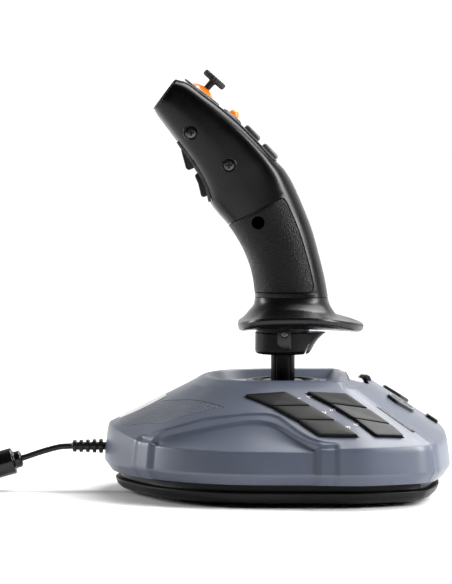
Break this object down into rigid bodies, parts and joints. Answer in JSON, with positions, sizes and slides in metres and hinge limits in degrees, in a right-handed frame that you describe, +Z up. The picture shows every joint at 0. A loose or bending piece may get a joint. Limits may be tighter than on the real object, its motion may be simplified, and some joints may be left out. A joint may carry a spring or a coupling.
{
  "type": "flight joystick",
  "caption": "Desktop flight joystick: painted base with keys and a throttle slide, sprung two-axis gimbal, and a twisting trigger grip with thumb controls and a coiled cord.",
  "frame": {"origin": "middle of the base's footprint, on the surface that its feet stand on", "axes": "+Z up; +Y away from the user, the way the cord leaves; +X to the user's right"},
  "size_m": [0.2, 0.3667, 0.2527],
  "materials": {
    "black_plastic": "fine matte grain",
    "black_rubber": "soft matte rubber",
    "blue_grey_paint": "satin blue-grey metallic paint over moulded plastic",
    "cable": "black vinyl cable jacket",
    "circuit_board": "green board",
    "gloss_black": "polished black",
    "key_grey": "satin dark grey",
    "lamp_window": "smoked translucent window",
    "orange_plastic": "bright orange",
    "pale_plate": "pale grey, satin",
    "steel": "bright steel"
  },
  "bodies": {
    "base": {"base_cover": "blue_grey_paint", "base_tray": "black_plastic", "foot_front": "black_plastic", "foot_left": "black_plastic", "foot_right": "black_plastic", "foot_rear_left": "black_plastic", "foot_rear_right": "black_plastic", "gate_ring": "gloss_black", "gimbal_bracket": "steel", "main_board": "circuit_board", "throttle_plate": "pale_plate", "light_strip_left": "lamp_window", "light_strip_right": "lamp_window", "strain_relief": "black_rubber", "cord_lead": "cable", "ferrite_bead": "cable", "cord_tail": "cable", "cord_coil": "cable", "usb_plug": "steel"},
    "gimbal": {"gimbal_ring": "steel"},
    "stick": {"stick_shaft": "gloss_black", "dust_dome": "gloss_black", "centring_spring": "steel"},
    "grip": {"grip_shell_left": "gloss_black", "grip_shell_right": "gloss_black", "face_plate": "key_grey", "hand_rest": "black_rubber", "lower_hub": "black_plastic", "hub_screw": "steel", "grip_pad_left": "black_rubber", "grip_pad_right": "black_rubber", "grip_screw_upper": "steel", "grip_screw_lower": "steel", "trigger_plate": "key_grey"},
    "throttle": {"throttle_lever": "black_plastic"},
    "button_front_left_1": {"button_front_left_1": "key_grey"},
    "button_front_left_2": {"button_front_left_2": "key_grey"},
    "button_front_left_3": {"button_front_left_3": "key_grey"},
    "button_rear_left_1": {"button_rear_left_1": "key_grey"},
    "button_rear_left_2": {"button_rear_left_2": "key_grey"},
    "button_rear_left_3": {"button_rear_left_3": "key_grey"},
    "hex_button_left": {"hex_button_left": "key_grey"},
    "button_front_right_1": {"button_front_right_1": "key_grey"},
    "button_front_right_2": {"button_front_right_2": "key_grey"},
    "button_front_right_3": {"button_front_right_3": "key_grey"},
    "button_rear_right_1": {"button_rear_right_1": "key_grey"},
    "button_rear_right_2": {"button_rear_right_2": "key_grey"},
    "button_rear_right_3": {"button_rear_right_3": "key_grey"},
    "hex_button_right": {"hex_button_right": "key_grey"},
    "centre_button": {"centre_button": "key_grey"},
    "trigger_upper": {"trigger_upper": "key_grey"},
    "trigger_lower": {"trigger_lower": "key_grey"},
    "ministick_gimbal": {"ministick_yoke": "steel"},
    "ministick": {"ministick_dome": "orange_plastic", "ministick_cap": "black_rubber"},
    "orange_button": {"orange_button": "orange_plastic"},
    "thumb_button_upper_left": {"thumb_button_upper_left": "key_grey"},
    "thumb_button_upper_right": {"thumb_button_upper_right": "key_grey"},
    "thumb_button_lower_left": {"thumb_button_lower_left": "key_grey"},
    "thumb_button_lower_right": {"thumb_button_lower_right": "key_grey"}
  },
  "joints": [
    {"name": "stick_pitch", "type": "hinge", "parent": "base", "child": "gimbal", "pos_m": [0, -0.0039, 0.044], "axis": [1, 0, 0], "range_deg": [-15, 15], "stiffness_Nm_per_rad": 2.5},
    {"name": "stick_roll", "type": "hinge", "parent": "gimbal", "child": "stick", "pos_m": [0, -0.0039, 0.044], "axis": [0, 1, 0], "range_deg": [-15, 15], "stiffness_Nm_per_rad": 2.5},
    {"name": "grip_twist", "type": "hinge", "parent": "stick", "child": "grip", "pos_m": [0, -0.0039, 0.09], "axis": [0, 0, 1], "range_deg": [-18, 18], "stiffness_Nm_per_rad": 0.6},
    {"name": "throttle_slide", "type": "slide", "parent": "base", "child": "throttle", "axis": [1, 0, 0], "range_m": [-0.022, 0.022]},
    {"name": "button_front_left_1_press", "type": "slide", "parent": "base", "child": "button_front_left_1", "axis": [0.5779, -0.0212, -0.8158], "range_m": [0, 0.0012], "stiffness_N_per_m": 400},
    {"name": "button_front_left_2_press", "type": "slide", "parent": "base", "child": "button_front_left_2", "axis": [0.5779, -0.0212, -0.8158], "range_m": [0, 0.0012], "stiffness_N_per_m": 400},
    {"name": "button_front_left_3_press", "type": "slide", "parent": "base", "child": "button_front_left_3", "axis": [0.5779, -0.0212, -0.8158], "range_m": [0, 0.0012], "stiffness_N_per_m": 400},
    {"name": "button_rear_left_1_press", "type": "slide", "parent": "base", "child": "button_rear_left_1", "axis": [0.57, 0.0921, -0.8164], "range_m": [0, 0.0012], "stiffness_N_per_m": 400},
    {"name": "button_rear_left_2_press", "type": "slide", "parent": "base", "child": "button_rear_left_2", "axis": [0.57, 0.0921, -0.8164], "range_m": [0, 0.0012], "stiffness_N_per_m": 400},
    {"name": "button_rear_left_3_press", "type": "slide", "parent": "base", "child": "button_rear_left_3", "axis": [0.57, 0.0921, -0.8164], "range_m": [0, 0.0012], "stiffness_N_per_m": 400},
    {"name": "hex_button_left_press", "type": "slide", "parent": "base", "child": "hex_button_left", "axis": [0.0888, 0.5271, -0.8452], "range_m": [0, 0.0012], "stiffness_N_per_m": 400},
    {"name": "button_front_right_1_press", "type": "slide", "parent": "base", "child": "button_front_right_1", "axis": [-0.5776, -0.0197, -0.816], "range_m": [0, 0.0012], "stiffness_N_per_m": 400},
    {"name": "button_front_right_2_press", "type": "slide", "parent": "base", "child": "button_front_right_2", "axis": [-0.5776, -0.0197, -0.816], "range_m": [0, 0.0012], "stiffness_N_per_m": 400},
    {"name": "button_front_right_3_press", "type": "slide", "parent": "base", "child": "button_front_right_3", "axis": [-0.5776, -0.0197, -0.816], "range_m": [0, 0.0012], "stiffness_N_per_m": 400},
    {"name": "button_rear_right_1_press", "type": "slide", "parent": "base", "child": "button_rear_right_1", "axis": [-0.5702, 0.092, -0.8164], "range_m": [0, 0.0012], "stiffness_N_per_m": 400},
    {"name": "button_rear_right_2_press", "type": "slide", "parent": "base", "child": "button_rear_right_2", "axis": [-0.5702, 0.092, -0.8164], "range_m": [0, 0.0012], "stiffness_N_per_m": 400},
    {"name": "button_rear_right_3_press", "type": "slide", "parent": "base", "child": "button_rear_right_3", "axis": [-0.5702, 0.092, -0.8164], "range_m": [0, 0.0012], "stiffness_N_per_m": 400},
    {"name": "hex_button_right_press", "type": "slide", "parent": "base", "child": "hex_button_right", "axis": [-0.0903, 0.5275, -0.8447], "range_m": [0, 0.0012], "stiffness_N_per_m": 400},
    {"name": "centre_button_press", "type": "slide", "parent": "base", "child": "centre_button", "axis": [-0.0005, 0.5749, -0.8182], "range_m": [0, 0.0012], "stiffness_N_per_m": 400},
    {"name": "trigger_upper_pull", "type": "hinge", "parent": "grip", "child": "trigger_upper", "pos_m": [0, 0.0547, 0.2042], "axis": [-1, 0, 0], "range_deg": [0, 7], "stiffness_Nm_per_rad": 0.16},
    {"name": "trigger_lower_pull", "type": "hinge", "parent": "grip", "child": "trigger_lower", "pos_m": [0, 0.0457, 0.1896], "axis": [-1, 0, 0], "range_deg": [0, 7], "stiffness_Nm_per_rad": 0.16},
    {"name": "ministick_pitch", "type": "hinge", "parent": "grip", "child": "ministick_gimbal", "pos_m": [0, 0.04948, 0.23296], "axis": [1, 0, 0], "range_deg": [-13, 13], "stiffness_Nm_per_rad": 0.06},
    {"name": "ministick_roll", "type": "hinge", "parent": "ministick_gimbal", "child": "ministick", "pos_m": [0, 0.04948, 0.23296], "axis": [0, 0.749, 0.6626], "range_deg": [-13, 13], "stiffness_Nm_per_rad": 0.06},
    {"name": "orange_button_press", "type": "slide", "parent": "grip", "child": "orange_button", "axis": [0, 0.6485, -0.7612], "range_m": [0, 0.001], "stiffness_N_per_m": 400},
    {"name": "thumb_button_upper_left_press", "type": "slide", "parent": "grip", "child": "thumb_button_upper_left", "axis": [0, 0.7144, -0.6997], "range_m": [0, 0.001], "stiffness_N_per_m": 400},
    {"name": "thumb_button_upper_right_press", "type": "slide", "parent": "grip", "child": "thumb_button_upper_right", "axis": [0, 0.7144, -0.6997], "range_m": [0, 0.001], "stiffness_N_per_m": 400},
    {"name": "thumb_button_lower_left_press", "type": "slide", "parent": "grip", "child": "thumb_button_lower_left", "axis": [0, 0.7361, -0.6769], "range_m": [0, 0.001], "stiffness_N_per_m": 400},
    {"name": "thumb_button_lower_right_press", "type": "slide", "parent": "grip", "child": "thumb_button_lower_right", "axis": [0, 0.7361, -0.6769], "range_m": [0, 0.001], "stiffness_N_per_m": 400}
  ]
}
